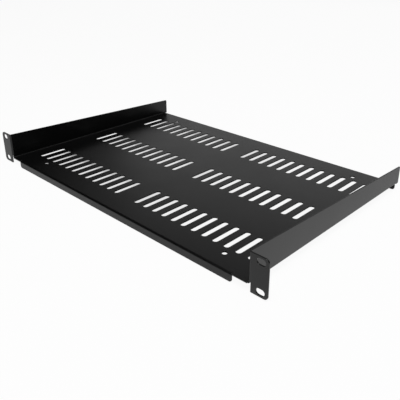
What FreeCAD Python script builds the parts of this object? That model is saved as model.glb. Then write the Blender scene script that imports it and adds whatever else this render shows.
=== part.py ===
import FreeCAD, Part
import os
from math import sin, sqrt, tan
from FreeCAD import Vector

# Cantilever shelf for a 19-inch rack, 1U high: one blank of steel sheet, punched and then folded.
# Millimetres, +Z up, -Y is the front that bolts to the rack posts. The origin is midway across
# the shelf and midway along it, on the plane of the lips' lower edges, which the shelf stands on.

# Sheet and folds
sheet = 1.5                     # thickness of the steel
bend_inside = 1.0               # inside radius of every fold
bend_outside = bend_inside + sheet
slit = 0.5                      # width of the cut that frees one flange from its neighbour

# Overall sizes
tray_width = 440.0              # across the outer faces of the side walls
wall_depth = 300.0              # front face of the ears to the rear edges of the side walls
front_height = 44.0             # top of the ears, and of the side walls at the front
rear_height = 32.0              # top of the side walls at the rear

# Lips, folded down from the floor
lip_height = 10.0               # floor's upper face above the lips' lower edges
lip_corner = 3.0                # radius of a lip's lower corners
front_lip_inset = 21.5          # end of the front lip in from the side wall's outer face
rear_lip_inset = 0.5            # the same at the rear, where the lip is nearly the full width
rear_lip_setback = 3.0          # rear lip's outer face ahead of the side walls' rear edges

# Side walls, folded up from the floor
wall_top_corner = 2.0           # radius of the upper rear corner
wall_foot_corner = 1.5          # radius of the lower rear corner
corner_relief = 1.0             # start of the side fold behind the front face of the ears

# Rack ears, folded outwards from the side walls
ear_reach = 21.3                # ear's outer edge beyond the side wall's outer face
ear_bottom = 1.0                # ear's lower edge above the standing plane
ear_outer_corner = 4.5
ear_inner_corner = 0.8
ear_trim = 0.3                  # the part below the fold stands clear of its line by this much
ear_hole_length = 10.0          # obround hole for the rack screw, lying across the shelf
ear_hole_width = 6.5
ear_hole_from_side = 8.75       # hole's centre in from the ear's outer edge
ear_hole_from_end = 5.625       # hole's centre in from the ear's upper or lower edge

# Ventilation slots, lying front to back, in rows that run across the shelf
slot_rows = 3
slot_length = 40.0
slot_width = 7.0
slot_pitch = 15.9
slot_from_middle = 19.65        # centres of the two innermost slots from the middle line
slot_side_margin = 20.0         # least distance from a slot's centre to the side fold
slot_end_margin = 31.0          # slot ends of the outer rows from the lips' outer faces

# Four round holes near the corners of the floor. The right pair is nearer its wall.
hole_diameter = 6.0
hole_from_left_wall = 55.4
hole_from_right_wall = 50.0
hole_from_lip = 22.5            # from the lip's outer face

# Planes and fold lines that several flanges share
wall_outer = tray_width / 2
wall_inner = wall_outer - sheet
side_fold = wall_outer - bend_outside           # floor starts to curve upwards
front_face = -wall_depth / 2
wall_rear = wall_depth / 2
rear_face = wall_rear - rear_lip_setback
front_fold = front_face + bend_outside          # front lip and ears start to curve
rear_fold = rear_face - bend_outside
floor_under = lip_height - sheet
lip_fold = lip_height - bend_outside            # lips become flat
wall_fold = floor_under + bend_outside          # side walls become flat
ear_fold = wall_outer + bend_inside             # ears become flat
ear_outer = wall_outer + ear_reach

LEFT_TO_RIGHT = Vector(1, 0, 0)
FRONT_TO_BACK = Vector(0, 1, 0)
UP = Vector(0, 0, 1)


def rounded_face(corners, place):
    """Flat face from corners (u, v, radius), each rounded by an arc tangent to both its sides."""
    points = [place(u, v) for u, v, radius in corners]
    arrivals, departures, arcs = [], [], []
    for index, (u, v, radius) in enumerate(corners):
        corner = points[index]
        back = (points[index - 1] - corner).normalize()
        ahead = (points[(index + 1) % len(points)] - corner).normalize()
        half_angle = back.getAngle(ahead) / 2
        run_in = radius / tan(half_angle)
        arrivals.append(corner + back * run_in)
        departures.append(corner + ahead * run_in)
        inwards = (back + ahead).normalize()
        middle = corner + inwards * (radius / sin(half_angle) - radius)
        arcs.append(Part.Arc(arrivals[-1], middle, departures[-1]).toShape() if radius else None)
    edges = []
    for index, arc in enumerate(arcs):
        if arc:
            edges.append(arc)
        start, end = departures[index], arrivals[(index + 1) % len(points)]
        if start.distanceToPoint(end) > 1e-6:       # the two arcs of a round end meet
            edges.append(Part.LineSegment(start, end).toShape())
    return Part.Face(Part.Wire(edges))


def obround_face(u, v, length_u, length_v, place):
    """Face with half-round ends about the centre (u, v); a circle where both lengths agree."""
    half_u, half_v = length_u / 2, length_v / 2
    radius = min(half_u, half_v)
    signs = [(-1, -1), (1, -1), (1, 1), (-1, 1)]
    return rounded_face([(u + a * half_u, v + b * half_v, radius) for a, b in signs], place)


def quarter_fold(axis_point, first, second, run):
    """Fold of a quarter turn about an axis, its section turning from way first to way second."""
    between = (first + second) * (1 / sqrt(2))
    outer = [axis_point + way * bend_outside for way in (first, between, second)]
    inner = [axis_point + way * bend_inside for way in (second, between, first)]
    edges = [
        Part.Arc(*outer).toShape(),
        Part.LineSegment(outer[2], inner[0]).toShape(),
        Part.Arc(*inner).toShape(),
        Part.LineSegment(inner[2], outer[0]).toShape(),
    ]
    return Part.Face(Part.Wire(edges)).extrude(run)


def in_xy(z):
    return lambda x, y: Vector(x, y, z)


def in_xz(y):
    return lambda x, z: Vector(x, y, z)


def in_yz(x):
    return lambda y, z: Vector(x, y, z)


def make_floor():
    """Floor with a plain front edge beside each end of the front lip, and a slit between them."""
    lip_end = wall_outer - front_lip_inset
    slit_end = lip_end + slit
    slit_root = front_fold + slit
    right = [
        (lip_end, front_fold, 0),
        (lip_end, slit_root, 0),
        (slit_end, slit_root, 0),
        (slit_end, front_face, 0),
        (side_fold, front_face, 0),
        (side_fold, rear_fold, 0),
    ]
    left = [(-x, y, radius) for x, y, radius in reversed(right)]
    return rounded_face(left + right, in_xy(floor_under)).extrude(UP * sheet)


def make_front_lip():
    """Front lip: a fold and a plain leg, both shorter than the floor is wide."""
    half = wall_outer - front_lip_inset
    axis_point = Vector(-half, front_fold, lip_fold)
    curve = quarter_fold(axis_point, UP, -FRONT_TO_BACK, LEFT_TO_RIGHT * 2 * half)
    outline = [
        (-half, lip_fold, 0),
        (-half, 0, lip_corner),
        (half, 0, lip_corner),
        (half, lip_fold, 0),
    ]
    leg = rounded_face(outline, in_xz(front_face)).extrude(FRONT_TO_BACK * sheet)
    return [curve, leg]


def make_rear_lip():
    """Rear lip: its fold is as wide as the floor, and its leg widens under the side folds."""
    half_fold = side_fold
    half_leg = wall_outer - rear_lip_inset
    axis_point = Vector(-half_fold, rear_fold, lip_fold)
    curve = quarter_fold(axis_point, UP, FRONT_TO_BACK, LEFT_TO_RIGHT * 2 * half_fold)
    shoulder = lip_fold - slit
    right = [
        (half_leg, 0, lip_corner),
        (half_leg, shoulder, 0),
        (half_fold, shoulder, 0),
        (half_fold, lip_fold, 0),
    ]
    left = [(-x, z, radius) for x, z, radius in reversed(right)]
    leg = rounded_face(left + right, in_xz(rear_face - sheet)).extrude(FRONT_TO_BACK * sheet)
    return [curve, leg]


def make_right_wall():
    """Right side wall: the fold up from the floor, and the flat, which tapers to the rear."""
    fold_start, fold_end = front_face + corner_relief, rear_fold - slit
    axis_point = Vector(side_fold, fold_start, wall_fold)
    curve = quarter_fold(axis_point, -UP, LEFT_TO_RIGHT, FRONT_TO_BACK * (fold_end - fold_start))
    tail_foot = wall_fold + slit
    outline = [
        (front_fold, wall_fold, 0),
        (fold_end, wall_fold, 0),
        (fold_end, tail_foot, 0),
        (wall_rear, tail_foot, wall_foot_corner),
        (wall_rear, rear_height, wall_top_corner),
        (front_fold, front_height, 0),
    ]
    flat = rounded_face(outline, in_yz(wall_inner)).extrude(LEFT_TO_RIGHT * sheet)
    return [curve, flat]


def make_right_ear():
    """Right ear: the fold out from the side wall, and the flat with two obround screw holes."""
    axis_point = Vector(ear_fold, front_fold, wall_fold)
    rise = UP * (front_height - wall_fold)
    curve = quarter_fold(axis_point, -LEFT_TO_RIGHT, -FRONT_TO_BACK, rise)
    inner_edge = ear_fold + ear_trim
    outline = [
        (inner_edge, ear_bottom, ear_inner_corner),
        (ear_outer, ear_bottom, ear_outer_corner),
        (ear_outer, front_height, ear_outer_corner),
        (ear_fold, front_height, 0),
        (ear_fold, wall_fold, 0),
        (inner_edge, wall_fold, 0),
    ]
    flat = rounded_face(outline, in_xz(front_face)).extrude(FRONT_TO_BACK * sheet)
    across = ear_outer - ear_hole_from_side
    for height in (ear_bottom + ear_hole_from_end, front_height - ear_hole_from_end):
        hole = obround_face(across, height, ear_hole_length, ear_hole_width, in_xz(front_face))
        flat = flat.cut(hole.extrude(FRONT_TO_BACK * sheet))
    return [curve, flat]


def floor_punches():
    """Punches for the ventilation slots and the four round holes."""
    room = side_fold - slot_side_margin - slot_from_middle
    slots_each_side = int(room // slot_pitch) + 1
    first_row = front_face + slot_end_margin + slot_length / 2
    last_row = rear_face - slot_end_margin - slot_length / 2
    row_pitch = (last_row - first_row) / (slot_rows - 1)
    openings = []
    for row in range(slot_rows):
        y = first_row + row * row_pitch
        for column in range(slots_each_side):
            x = slot_from_middle + column * slot_pitch
            for side in (-1, 1):
                openings.append((side * x, y, slot_width, slot_length))
    for x in (-wall_outer + hole_from_left_wall, wall_outer - hole_from_right_wall):
        for y in (front_face + hole_from_lip, rear_face - hole_from_lip):
            openings.append((x, y, hole_diameter, hole_diameter))
    place = in_xy(floor_under)
    return [obround_face(*opening, place).extrude(UP * sheet) for opening in openings]


floor = make_floor().cut(floor_punches())
right_side = make_right_wall() + make_right_ear()
left_side = [piece.mirror(Vector(0, 0, 0), LEFT_TO_RIGHT) for piece in right_side]
shelf = floor.fuse(make_front_lip() + make_rear_lip() + right_side + left_side).removeSplitter()

os.makedirs("parts", exist_ok=True)
shelf.exportStep("parts/shelf.step")

box = shelf.BoundBox
print("solids", len(shelf.Solids), "valid", shelf.isValid())
print("size", round(box.XLength, 3), round(box.YLength, 3), round(box.ZLength, 3))
print("volume in cubic centimetres", round(shelf.Volume / 1000, 3))
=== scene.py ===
from math import cos, pi, radians, sin, tan

import bpy
import numpy as np
from mathutils import Matrix, Vector
from mathutils.geometry import delaunay_2d_cdt


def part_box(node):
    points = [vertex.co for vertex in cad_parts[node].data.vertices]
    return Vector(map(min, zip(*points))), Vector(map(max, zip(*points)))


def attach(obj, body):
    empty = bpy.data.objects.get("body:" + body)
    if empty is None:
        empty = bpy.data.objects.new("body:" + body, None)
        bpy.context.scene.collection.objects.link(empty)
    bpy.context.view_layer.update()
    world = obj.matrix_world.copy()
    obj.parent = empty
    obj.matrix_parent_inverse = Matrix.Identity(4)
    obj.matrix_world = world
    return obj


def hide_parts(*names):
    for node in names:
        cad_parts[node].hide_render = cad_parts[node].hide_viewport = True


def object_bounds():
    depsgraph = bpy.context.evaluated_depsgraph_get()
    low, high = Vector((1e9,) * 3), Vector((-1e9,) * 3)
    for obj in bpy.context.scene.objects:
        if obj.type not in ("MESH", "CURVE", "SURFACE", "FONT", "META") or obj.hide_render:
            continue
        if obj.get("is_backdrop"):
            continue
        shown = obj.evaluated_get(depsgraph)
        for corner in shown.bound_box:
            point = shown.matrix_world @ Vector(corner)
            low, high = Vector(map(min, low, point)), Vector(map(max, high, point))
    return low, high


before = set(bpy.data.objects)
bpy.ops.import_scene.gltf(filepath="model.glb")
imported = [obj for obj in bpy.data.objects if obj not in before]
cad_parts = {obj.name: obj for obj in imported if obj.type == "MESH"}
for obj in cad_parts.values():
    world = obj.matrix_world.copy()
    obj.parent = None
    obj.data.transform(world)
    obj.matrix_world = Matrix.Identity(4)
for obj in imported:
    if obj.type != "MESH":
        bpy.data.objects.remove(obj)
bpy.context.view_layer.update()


# ---------------------------------------------------------------------------------------------
# The blank. One piece of 1.5 mm steel sheet, punched and trimmed while it is still flat. Its flat
# pattern is drawn in u, across the shelf, and v, from front to back; w is height in the sheet.
# The middle of the pattern is the shelf's floor, and everything round it is folded up or down.
MM = 0.001
sheet = 1.5 * MM
bend_inside = 1.0 * MM                      # inside radius of every fold
bend_outside = bend_inside + sheet
bend_length = (bend_inside + sheet / 2) * pi / 2        # a quarter fold, along the sheet's middle

low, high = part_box("shelf")
front_face, wall_rear, front_height = low.y, high.y, high.z
wall_outer = 220.0 * MM                     # outer faces of the side walls, from the middle
lip_height = 10.0 * MM                      # the floor's upper face above the lips' lower edges
rear_height = 32.0 * MM                     # of the side walls at their rear edge
rear_face = wall_rear - 3.0 * MM            # outer face of the rear lip
floor_under = lip_height - sheet

# Where the sheet starts to curve, and where it is flat again beyond the fold
side_fold = wall_outer - bend_outside
wall_flat = side_fold + bend_length
front_fold = front_face + bend_outside
front_flat = front_fold - bend_length
rear_fold = rear_face - bend_outside
rear_flat = rear_fold + bend_length
lip_leg = lip_height - bend_outside         # flat part of a lip
wall_fold_top = floor_under + bend_outside  # height at which a side wall is flat
slit = 0.3 * MM                             # cut that frees one flange from its neighbour

front_lip_end = wall_outer - 21.5 * MM
rear_lip_end = side_fold + 0.5 * MM
ear_length = high.x - (wall_outer + bend_inside)
ear_foot = 1.0 * MM                         # ear's lower edge above the lips' lower edges
ear_corner = 4.5 * MM


def height_on_wall(z):
    """Place in the flat pattern, across, of a point at height z on a side wall or an ear."""
    return wall_flat + z - wall_fold_top


def rounded(corners):
    """Closed outline from corners (u, v, radius). The arc at a corner is on the circle that
    touches both sides: its centre lies radius / sin(half the corner's angle) along the bisector,
    and its points turn about that centre from one tangent point to the other. Corners of more
    than a millimetre are drawn in finer steps."""
    places = np.array(corners)[:, :2]
    pieces = []
    for index, (u, v, radius) in enumerate(corners):
        corner = places[index]
        back = places[index - 1] - corner
        ahead = places[(index + 1) % len(places)] - corner
        back, ahead = back / np.linalg.norm(back), ahead / np.linalg.norm(ahead)
        half = np.arccos(np.clip(back @ ahead, -1, 1)) / 2
        centre = corner + (back + ahead) / np.linalg.norm(back + ahead) * radius / sin(half)
        start = corner + back * radius / tan(half) - centre
        side = np.sign(back[1] * ahead[0] - back[0] * ahead[1])
        steps = 12 if radius > MM else 3
        turn = np.linspace(0, side * (pi - 2 * half), steps + 1)[:, None]
        square = np.array([-start[1], start[0]])
        pieces.append(centre + np.cos(turn) * start + np.sin(turn) * square)
    return np.concatenate(pieces)


def punched(radius, straight=0):
    """Outline of a hole about (0, 0), clockwise, so that metal is on its left: two half circles
    moved apart by the straight length along v. They make one circle where it is 0."""
    steps = 24 if straight else 12
    turn = np.linspace(0, pi, steps + 1)
    half = np.column_stack((np.cos(turn), np.sin(turn))) * radius + (0, straight / 2)
    if not straight:
        half = half[:-1]
    loop = np.concatenate((half, -half))
    return loop[::-1]


# Right half of the outline, from the front lip round to the rear lip, as (u, v, corner radius)
sharp, inner = 0.4 * MM, 0.14 * MM          # radius of a trimmed corner, and of a slit's root
lip_corner, ear_foot_corner = 3.0 * MM, 0.8 * MM
wall_top_corner, wall_foot_corner = 2.0 * MM, 1.5 * MM
lip_slit_root = front_fold + 0.5 * MM       # the slit at each end of the front lip
lip_slit_end = front_lip_end + 0.5 * MM
strip_end = front_face + 1.0 * MM           # side fold starts this far behind the ears' faces
fold_end = rear_fold - 0.5 * MM             # and ends this far ahead of the rear fold
notch = side_fold - slit
ear_root = wall_flat + 0.9 * MM             # foot of the ear's fold, which clears the side fold
taper_start = front_fold + 0.5 * MM         # from here the side wall gets lower to the rear
tail_slit_top = wall_flat + 0.5 * MM        # the slit that frees the wall's tail from its fold
tail_front = fold_end + slit
tail_foot = side_fold + 0.8 * MM            # the tail reaches below the wall's flat part
lip_shoulder = rear_flat + 0.5 * MM         # upper edge of the rear lip's ends
right_half = [
    (front_lip_end, front_flat - lip_leg, lip_corner),
    (front_lip_end, lip_slit_root, inner),
    (lip_slit_end, lip_slit_root, inner),
    (lip_slit_end, front_face, sharp),
    (notch, front_face, sharp),
    (notch, strip_end, inner),
    (ear_root - slit, strip_end, sharp),
    (ear_root - slit, front_fold + slit, inner),
    (ear_root, front_fold + slit, inner),
    (ear_root, front_flat - slit, inner),
    (height_on_wall(ear_foot), front_flat - slit, ear_foot_corner),
    (height_on_wall(ear_foot), front_flat - ear_length, ear_corner),
    (height_on_wall(front_height), front_flat - ear_length, ear_corner),
    (height_on_wall(front_height), taper_start, sharp),
    (height_on_wall(rear_height), wall_rear, wall_top_corner),
    (tail_foot, wall_rear, wall_foot_corner),
    (tail_foot, tail_front, sharp),
    (tail_slit_top, tail_front, inner),
    (tail_slit_top, fold_end, inner),
    (notch, fold_end, inner),
    (notch, lip_shoulder, inner),
    (rear_lip_end, lip_shoulder, sharp),
    (rear_lip_end, rear_flat + lip_leg, lip_corner),
]
left_half = [(-u, v, radius) for u, v, radius in reversed(right_half)]
outline = rounded(right_half + left_half)

# Ventilation slots: three rows, each of two blocks of twelve
slot_width, slot_length, slot_pitch = 7.0 * MM, 40.0 * MM, 15.9 * MM
first_slot = 19.65 * MM                     # innermost slot's centre from the middle line
slots_a_side = 12
row_inset = 51.0 * MM                       # outer rows' centres from the lips' faces
columns = first_slot + slot_pitch * np.arange(slots_a_side)
columns = np.concatenate((-columns[::-1], columns))
rows = np.linspace(front_face + row_inset, rear_face - row_inset, 3)
slot = punched(slot_width / 2, slot_length - slot_width)
holes = [slot + (u, v) for v in rows for u in columns]

# Four round holes near the floor's corners, which aren't centred on the shelf
screw_hole = punched(3.0 * MM)
from_left_wall, from_right_wall, from_lip = 55.4 * MM, 50.0 * MM, 22.5 * MM
for u in (-wall_outer + from_left_wall, wall_outer - from_right_wall):
    for v in (front_face + from_lip, rear_face - from_lip):
        holes.append(screw_hole + (u, v))

# Two obround holes in each ear, for the rack screws, 10 mm long and 6.5 mm wide
rack_holes = 4
rack_hole = punched(3.25 * MM, 3.5 * MM)
hole_from_side, hole_from_end = 8.75 * MM, 5.625 * MM
for z in (ear_foot + hole_from_end, front_height - hole_from_end):
    for side in (-1, 1):
        v = front_flat - ear_length + hole_from_side
        holes.append(rack_hole + (side * height_on_wall(z), v))


# ---------------------------------------------------------------------------------------------
# The folded sheet. The blank's trimmed edges are deburred, and its punched slots are nearly
# square. The press brake then folds the ears and the front lip, the rear lip, and last the side
# walls. This one piece is the whole shelf.
fold_steps = 8
ramp = np.linspace(0, bend_length, fold_steps + 1)
# Lines in the slits, which part each flange from its neighbour
inside_lip = front_lip_end + slit
beyond_ear = ear_root - slit / 2
beyond_fold = fold_end + slit / 2
beyond_rear_lip = (rear_lip_end + tail_foot) / 2
far = 1.0                                   # past every edge of the blank
# Each fold's lines: the axis that they cross, their places on it, and their reach on the other
fold_lines = [
    (1, front_fold - ramp, -inside_lip, inside_lip),
    (1, front_fold - ramp, beyond_ear, far),
    (1, front_fold - ramp, -far, -beyond_ear),
    (1, rear_fold + ramp, -side_fold, side_fold),
    (0, side_fold + ramp, strip_end - slit, beyond_fold),
    (0, -side_fold - ramp, strip_end - slit, beyond_fold),
]


def with_crossings(loop):
    """The outline with a point added wherever a straight side crosses a line of a fold: the point
    at the share (line - start) / (end - start) of the side."""
    step = np.roll(loop, -1, axis=0) - loop
    points, order = [loop], [np.arange(len(loop), dtype=float)]
    for axis, lines, least, most in fold_lines:
        run = np.where(step[:, axis] == 0, np.inf, step[:, axis])
        share = (lines[:, None] - loop[:, axis]) / run
        line, side = np.nonzero((share > 0) & (share < 1))
        share = share[line, side]
        crossing = loop[side] + share[:, None] * step[side]
        crossing[:, axis] = lines[line]
        kept = (crossing[:, 1 - axis] > least) & (crossing[:, 1 - axis] < most)
        points.append(crossing[kept])
        order.append((side + share)[kept])
    return np.concatenate(points)[np.argsort(np.concatenate(order))]


def chords(loop):
    """Pairs of outline points that a fold line joins through the metal: along the line, the
    first to the second, the third to the fourth, and so on."""
    pairs = []
    for axis, lines, least, most in fold_lines:
        for line in lines:
            across = loop[:, 1 - axis]
            on_line = np.nonzero((loop[:, axis] == line) & (across > least) & (across < most))[0]
            pairs += on_line[np.argsort(across[on_line])].reshape(-1, 2).tolist()
    return pairs


def inwards(loop):
    """Mitre at each point: the sum of its two sides' left normals over 1 plus their product, so
    that a step of one along it moves both sides by one."""
    run = np.roll(loop, -1, axis=0) - loop
    run /= np.linalg.norm(run, axis=1)[:, None]
    after = np.column_stack((-run[:, 1], run[:, 0]))
    before = np.roll(after, 1, axis=0)
    return (before + after) / (1 + (before * after).sum(axis=1))[:, None]


outline = with_crossings(outline)
loops = [outline] + holes
edge = np.concatenate(loops)
mitre = np.concatenate([inwards(loop) for loop in loops])
starts = np.cumsum([0] + [len(loop) for loop in loops])
follower = np.concatenate([start + np.roll(np.arange(len(loop)), -1)
                           for start, loop in zip(starts, loops)])

# Radius of the rounding at the upper and at the lower face. The trimmed outline and the rack holes
# are deburred, by less than a sharp corner's radius. The other holes are left as they are punched.
deburred_upper, deburred_lower = 0.35 * MM, 0.20 * MM
punched_upper, punched_lower = 0.12 * MM, 0.06 * MM
points_left = sum(len(loop) for loop in holes[:-rack_holes])
points_in_rack_holes = sum(len(loop) for loop in holes[-rack_holes:])
deburred = np.repeat((True, False, True), (len(outline), points_left, points_in_rack_holes))
upper_round = np.where(deburred, deburred_upper, punched_upper)
lower_round = np.where(deburred, deburred_lower, punched_lower)

# Section round a cut edge, from the upper face down to the lower one: a quarter circle, the cut
# wall and another quarter circle, as angle of the normal, inset and height
quarter = np.linspace(pi / 2, 0, 5)
slope = np.concatenate((quarter, -quarter[::-1]))
on_upper_quarter = (np.arange(len(slope)) < len(quarter))[:, None]
radius = np.where(on_upper_quarter, upper_round, lower_round)
inset = radius * (1 - np.cos(slope))[:, None]
rise = np.abs(np.sin(slope))[:, None] * radius
height = np.where(on_upper_quarter, sheet - radius + rise, radius - rise)

outward = -mitre / np.linalg.norm(mitre, axis=1)[:, None]
flat = np.empty((len(slope), len(edge), 3))
flat[:, :, :2] = edge + inset[:, :, None] * mitre
flat[:, :, 2] = height
normals = np.empty_like(flat)
normals[:, :, :2] = np.cos(slope)[:, None, None] * outward
normals[:, :, 2] = np.sin(slope)[:, None]
flat, normals = flat.reshape(-1, 3), normals.reshape(-1, 3)

# Faces: the rims in quads, and the upper and lower face filled between the same outlines
count, last = len(edge), (len(slope) - 1) * len(edge)
level = np.arange(len(slope) - 1)[:, None] * count
here = np.arange(count)
rims = np.stack((level + here, level + count + here, level + count + follower, level + follower),
                axis=-1).reshape(-1, 4)
top = [Vector(point) for point in (flat[:count, :2] / MM).tolist()]
rings = [list(range(start, end)) for start, end in zip(starts[:-1], starts[1:])]
whole_hull, same_point = 0, 1e-6            # triangles out to the hull; tolerance in millimetres
filled = delaunay_2d_cdt(top, chords(outline), rings, whole_hull, same_point, True)
filled_points, _, filled_faces, origins, _, faces_within = filled
assert len(filled_points) == count, "the fill added points to the outlines"
origin = np.array([first for first, *_ in origins])
upper = np.array([origin[list(face)] for face, within in zip(filled_faces, faces_within)
                  if len(within) == len(loops)])      # metal lies left of every outline
lower = upper[:, ::-1] + last


def fold(chosen, axis, way, start, turn, rigid=False):
    """Carries the chosen points round one fold. Past the start of the fold, in the direction way
    along the axis, a point turns about a centre bend_inside off the sheet by a quarter turn for
    one bend_length, and goes on straight from there. turn is 1 for up and -1 for down. A rigid
    flange turns the whole quarter, even where it reaches back past its fold."""
    u_or_v, w = flat[chosen, axis], flat[chosen, 2]
    beyond = way * u_or_v - start
    angle = np.where(rigid, 1.0, np.clip(beyond / bend_length, 0, 1)) * pi / 2
    straight = np.where(rigid, beyond - bend_length, np.maximum(beyond - bend_length, 0))
    centre = sheet + bend_inside if turn > 0 else -bend_inside
    radius = turn * (centre - w)
    flat[chosen, axis] = way * (start + radius * np.sin(angle) + straight * np.cos(angle))
    flat[chosen, 2] = centre - turn * (radius * np.cos(angle) - straight * np.sin(angle))
    along, up = way * normals[chosen, axis], normals[chosen, 2].copy()
    normals[chosen, axis] = way * (along * np.cos(angle) - turn * up * np.sin(angle))
    normals[chosen, 2] = turn * along * np.sin(angle) + up * np.cos(angle)


across, along = np.abs(flat[:, 0]), flat[:, 1].copy()
way_out = np.sign(flat[:, 0])
floor_strip = (across > inside_lip) & (across < beyond_ear) & (along > front_flat - slit / 2)
front = (along < front_fold) & ~floor_strip
ear = front & (across > inside_lip)
rear = (along > rear_fold) & (across < beyond_rear_lip)
tail = (along > beyond_fold) & (across > beyond_rear_lip)
side = ear | ((across > side_fold) & ~rear)
fold(front, 1, -1, -front_fold, -1)
fold(rear, 1, 1, rear_fold, -1)
fold(side, 0, way_out[side], side_fold, 1, rigid=(ear | tail)[side])
flat[:, 2] += floor_under

mesh = bpy.data.meshes.new("folded_sheet")
mesh.from_pydata(flat.tolist(), [], rims.tolist() + upper.tolist() + lower.tolist())
mesh.shade_smooth()
mesh.normals_split_custom_set_from_vertices(normals.tolist())
folded_sheet = bpy.data.objects.new("folded_sheet", mesh)
bpy.context.scene.collection.objects.link(folded_sheet)
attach(folded_sheet, "root")
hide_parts("shelf")


# ---------------------------------------------------------------------------------------------
# The powder coat: a satin black polyester powder, sprayed on after folding and baked, so that it
# covers cut edges and hole walls too. It flows out to a faint orange peel a few millimetres
# across, with a finer grain on top, and its gloss varies a little from place to place.
coat_black = (0.0010, 0.0010, 0.0011, 1)
coat_lighter = (0.0018, 0.0018, 0.0019, 1)

coat = bpy.data.materials.new("powder_coat")
coat.use_nodes = True
nodes, links = coat.node_tree.nodes, coat.node_tree.links
principled = nodes["Principled BSDF"]
coat_place = nodes.new("ShaderNodeTexCoord")


def noise(scale, detail, label):
    """Noise on Object coordinates with that many cells a metre."""
    node = nodes.new("ShaderNodeTexNoise")
    node.label = label
    node.inputs["Scale"].default_value = scale
    node.inputs["Detail"].default_value = detail
    links.new(coat_place.outputs["Object"], node.inputs["Vector"])
    return node.outputs["Fac"]


def spread(value, least, most, label):
    """Map Range from the middle half of a noise to least and most."""
    node = nodes.new("ShaderNodeMapRange")
    node.label = label
    node.inputs["From Min"].default_value = 0.25
    node.inputs["From Max"].default_value = 0.75
    node.inputs["To Min"].default_value = least
    node.inputs["To Max"].default_value = most
    links.new(value, node.inputs["Value"])
    return node.outputs["Result"]


clouds = noise(scale=14, detail=3, label="uneven film")
tint = nodes.new("ShaderNodeMix")
tint.data_type = "RGBA"
tint.inputs["A"].default_value = coat_black
tint.inputs["B"].default_value = coat_lighter
links.new(clouds, tint.inputs["Factor"])
links.new(tint.outputs["Result"], principled.inputs["Base Color"])
gloss = spread(clouds, least=0.32, most=0.37, label="uneven gloss")
links.new(gloss, principled.inputs["Roughness"])

peel = nodes.new("ShaderNodeBump")
peel.label = "orange peel"
peel.inputs["Strength"].default_value = 1.0
peel.inputs["Distance"].default_value = 0.012 * MM
links.new(noise(scale=420, detail=2, label="orange peel"), peel.inputs["Height"])
grain = nodes.new("ShaderNodeBump")
grain.label = "grain"
grain.inputs["Strength"].default_value = 1.0
grain.inputs["Distance"].default_value = 0.0015 * MM
links.new(noise(scale=3500, detail=1, label="grain"), grain.inputs["Height"])
links.new(peel.outputs["Normal"], grain.inputs["Normal"])
links.new(grain.outputs["Normal"], principled.inputs["Normal"])
mesh.materials.append(coat)


# ---------------------------------------------------------------------------------------------
# The studio: a round white table in a dark room, which shows plain white past the table's edge.
# A strong softbox hangs over the front right corner, with two low wide ones and a small high one
# behind, which the satin coat mirrors. The shelf stands on the table on its lips' lower edges.
table_radius = 3.0
turns = 96
angle = np.linspace(0, 2 * pi, turns, endpoint=False)
points = np.column_stack((table_radius * np.cos(angle), table_radius * np.sin(angle), 0 * angle))
table_mesh = bpy.data.meshes.new("studio_table")
table_mesh.from_pydata(points.tolist(), [], [list(range(turns))])
studio_table = bpy.data.objects.new("studio_table", table_mesh)
bpy.context.scene.collection.objects.link(studio_table)
studio_table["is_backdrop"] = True

white = bpy.data.materials.new("white_table")
white.use_nodes = True
nodes, links = white.node_tree.nodes, white.node_tree.links
nodes.clear()
output = nodes.new("ShaderNodeOutputMaterial")
paper = nodes.new("ShaderNodeBsdfDiffuse")
paper.inputs["Color"].default_value = (0.9, 0.9, 0.9, 1)
blank_white = nodes.new("ShaderNodeEmission")
blank_white.inputs["Strength"].default_value = 1.0
table_path = nodes.new("ShaderNodeLightPath")
table_place = nodes.new("ShaderNodeTexCoord")
table_spot = nodes.new("ShaderNodeSeparateXYZ")
links.new(table_place.outputs["Object"], table_spot.inputs["Vector"])
to_right, to_rear = table_spot.outputs["X"], table_spot.outputs["Y"]


def ramp_between(value, start, end, most):
    """Map Range from 0 at the start to most at the end."""
    node = nodes.new("ShaderNodeMapRange")
    node.inputs["From Min"].default_value = start
    node.inputs["From Max"].default_value = end
    node.inputs["To Max"].default_value = most
    links.new(value, node.inputs["Value"])
    return node.outputs["Result"]


def combined(operation, first, second):
    """Math node with two inputs, each of them a socket or a plain number."""
    node = nodes.new("ShaderNodeMath")
    node.operation = operation
    for index, value in enumerate((first, second)):
        if isinstance(value, float):
            node.inputs[index].default_value = value
        else:
            links.new(value, node.inputs[index])
    return node.outputs["Value"]


# Painted light: how far a mirrored ray sees the table glow plain white, set by place so that the
# coat's reflections are brighter there: on the shelf's right, less towards the rear, and in front
# of the shelf, more towards the left
on_right = ramp_between(to_right, start=0.18, end=0.22, most=1.0)
to_the_front = ramp_between(to_rear, start=0.45, end=-0.15, most=1.0)
behind_ears = ramp_between(to_rear, start=-0.16, end=-0.15, most=1.0)
beside = combined("MULTIPLY", on_right, combined("MULTIPLY", to_the_front, behind_ears))
on_left = ramp_between(to_right, start=0.18, end=-0.24, most=0.32)
in_front = ramp_between(to_rear, start=-0.13, end=-0.15, most=1.0)
painted_glow_share = combined("MAXIMUM", beside, combined("MULTIPLY", on_left, in_front))
mirrored = combined("MAXIMUM", table_path.outputs["Is Glossy Ray"],
                    table_path.outputs["Is Transmission Ray"])
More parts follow.
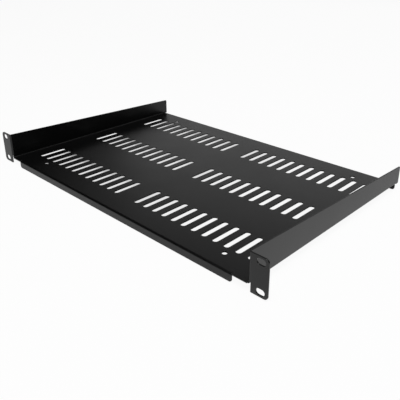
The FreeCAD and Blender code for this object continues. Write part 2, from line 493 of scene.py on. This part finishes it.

# How far the camera sees plain white. Painted shade: in a box under the shelf the white is cut
# back, deepest under the left, so that the shelf's real shadow on the paper shows deeper there
plain_white = 0.94
half_width_under, half_depth_under = 0.20, 0.14
under_x = combined("LESS_THAN", combined("ABSOLUTE", to_right, 0.0), half_width_under)
under_y = combined("LESS_THAN", combined("ABSOLUTE", to_rear, 0.0), half_depth_under)
painted_shade_under_shelf = combined("MULTIPLY", combined("MULTIPLY", under_x, under_y),
                  ramp_between(to_right, start=0.10, end=-0.20, most=0.60))
camera_share = combined("SUBTRACT", plain_white, painted_shade_under_shelf)
seen_white = combined("MAXIMUM",
                      combined("MULTIPLY", table_path.outputs["Is Camera Ray"], camera_share),
                      combined("MULTIPLY", mirrored, painted_glow_share))
mix = nodes.new("ShaderNodeMixShader")
links.new(seen_white, mix.inputs["Fac"])
links.new(paper.outputs["BSDF"], mix.inputs[1])
links.new(blank_white.outputs["Emission"], mix.inputs[2])
links.new(mix.outputs["Shader"], output.inputs["Surface"])
table_mesh.materials.append(white)

world = bpy.data.worlds.new("dark_room")
world.use_nodes = True
nodes, links = world.node_tree.nodes, world.node_tree.links
background = nodes["Background"]
background.inputs["Color"].default_value = (1, 1, 1, 1)
world_path = nodes.new("ShaderNodeLightPath")
room_light = nodes.new("ShaderNodeMapRange")
room_light.inputs["To Min"].default_value = 0.01
room_light.inputs["To Max"].default_value = 1.0
links.new(world_path.outputs["Is Camera Ray"], room_light.inputs["Value"])
links.new(room_light.outputs["Result"], background.inputs["Strength"])
bpy.context.scene.world = world


def softbox(name, azimuth, elevation, distance, size, power):
    """Area lamp facing the shelf, out of the camera's sight. Azimuth is in degrees from +Y
    towards -X, elevation in degrees, and size is width and height."""
    lamp = bpy.data.lights.new(name, "AREA")
    lamp.shape = "RECTANGLE"
    lamp.size, lamp.size_y = size
    lamp.energy = power
    turn, rise = radians(azimuth), radians(elevation)
    lamp_place = Vector((-sin(turn) * cos(rise), cos(turn) * cos(rise), sin(rise))) * distance
    softbox_object = bpy.data.objects.new(name, lamp)
    softbox_object.location = lamp_place
    softbox_object.rotation_euler = (-lamp_place).to_track_quat("-Z", "Y").to_euler()
    softbox_object.visible_camera = False
    bpy.context.scene.collection.objects.link(softbox_object)


softbox("softbox_front", azimuth=-135, elevation=68, distance=2.2, size=(1.4, 1.4), power=39)
softbox("softbox_rear", azimuth=20.3, elevation=18, distance=2.4, size=(3.1, 0.74), power=4.8)
softbox("softbox_high", azimuth=22.8, elevation=32, distance=2.4, size=(3.4, 0.5), power=1.6)
softbox("softbox_top", azimuth=-20, elevation=50, distance=2.0, size=(1.0, 1.0), power=3)


# ---------------------------------------------------------------------------------------------
# The camera stands in front of the shelf's right corner and looks down on it.
camera_place = Vector((466.17, -464.40, 296.63)) * MM
camera_azimuth, camera_elevation, camera_roll = radians(44.345), radians(23.172), radians(-0.341)
sight = Vector((-sin(camera_azimuth) * cos(camera_elevation),
                cos(camera_azimuth) * cos(camera_elevation), -sin(camera_elevation)))
camera = bpy.data.cameras.new("camera")
camera.sensor_width = 36.0
camera.lens = 47.372
camera.shift_x = -0.00065
camera.shift_y = -0.08644
camera.clip_start, camera.clip_end = 0.01, 20
camera_object = bpy.data.objects.new("camera", camera)
upright = sight.to_track_quat("-Z", "Y").to_matrix().to_4x4()
camera_object.matrix_world = (Matrix.Translation(camera_place) @ upright
                              @ Matrix.Rotation(camera_roll, 4, "Z"))
bpy.context.scene.collection.objects.link(camera_object)
bpy.context.scene.camera = camera_object
bpy.context.scene.view_settings.view_transform = "Standard"

low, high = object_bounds()
